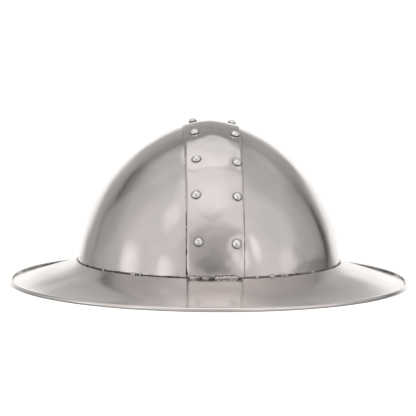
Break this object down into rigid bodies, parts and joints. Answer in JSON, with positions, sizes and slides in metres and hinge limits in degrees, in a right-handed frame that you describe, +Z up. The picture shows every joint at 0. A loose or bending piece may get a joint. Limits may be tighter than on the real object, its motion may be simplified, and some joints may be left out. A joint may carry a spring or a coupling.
{
  "type": "kettle hat helmet",
  "caption": "Open steel kettle hat: round two-part crown with a riveted centre band, wide sloping brim with rolled rim, leather liner and buckled chin strap.",
  "frame": {"origin": "middle of the rolled rim, on the surface that the rim stands on", "axes": "-Y to the front, +X to the wearer's left, +Z up to the top of the crown"},
  "size_m": [0.35, 0.3744, 0.1431],
  "materials": {
    "polished_steel": "polished, with fine brushing",
    "rivet_steel": "polished",
    "weld_steel": "rough weld",
    "plain_steel": "plain",
    "brass": "polished",
    "headband_leather": "vegetable tanned",
    "leaf_leather": "natural",
    "lace_thong": "waxed",
    "strap_leather": "waxed"
  },
  "bodies": {
    "helmet": {"skull_left": "polished_steel", "skull_right": "polished_steel", "centre_band": "polished_steel", "band_rivets_left": "rivet_steel", "band_rivets_right": "rivet_steel", "brim": "polished_steel", "rim_wire": "plain_steel", "weld_seam": "weld_steel", "liner_tabs": "plain_steel", "liner_rivets": "brass", "liner_headband": "headband_leather", "liner_leaf_1": "leaf_leather", "liner_leaf_2": "leaf_leather", "liner_leaf_3": "leaf_leather", "liner_leaf_4": "leaf_leather", "liner_leaf_5": "leaf_leather", "liner_leaf_6": "leaf_leather", "liner_leaf_7": "leaf_leather", "liner_leaf_8": "leaf_leather", "liner_lace": "lace_thong", "strap_lug_left": "plain_steel", "strap_lug_right": "plain_steel"},
    "loop_left": {"wire_loop_left": "plain_steel"},
    "loop_right": {"wire_loop_right": "plain_steel"},
    "strap_half_left": {"strap_left": "strap_leather", "strap_rivets_left": "brass"},
    "strap_half_right": {"strap_right": "strap_leather", "strap_rivets_right": "brass"},
    "keeper": {"strap_keeper": "strap_leather"},
    "buckle": {"buckle_frame": "brass"},
    "prong": {"buckle_prong": "brass"}
  },
  "joints": [
    {"name": "loop_left_swing", "type": "hinge", "parent": "helmet", "child": "loop_left", "pos_m": [0.108, 0, 0.0245], "axis": [0, 1, 0], "range_deg": [-5, 35]},
    {"name": "loop_right_swing", "type": "hinge", "parent": "helmet", "child": "loop_right", "pos_m": [-0.108, 0, 0.0245], "axis": [0, -1, 0], "range_deg": [-5, 6]},
    {"name": "strap_left_swing", "type": "hinge", "parent": "loop_left", "child": "strap_half_left", "pos_m": [0.108, 0, 0.0125], "axis": [0, -1, 0], "range_deg": [0, 110]},
    {"name": "strap_right_swing", "type": "hinge", "parent": "loop_right", "child": "strap_half_right", "pos_m": [-0.108, 0, 0.0125], "axis": [0, 1, 0], "range_deg": [0, 110]},
    {"name": "keeper_slide", "type": "slide", "parent": "strap_half_left", "child": "keeper", "axis": [-0.9819, 0.1736, -0.076], "range_m": [-0.024, 0.003]},
    {"name": "buckle_turn", "type": "hinge", "parent": "strap_half_left", "child": "buckle", "pos_m": [0.0049, 0.01823, 0.00452], "axis": [0.1731, 0.9848, 0.0134], "range_deg": [-30, 45]},
    {"name": "prong_turn", "type": "hinge", "parent": "buckle", "child": "prong", "pos_m": [0.0049, 0.01823, 0.00452], "axis": [0.1731, 0.9848, 0.0134], "range_deg": [0, 85]}
  ]
}
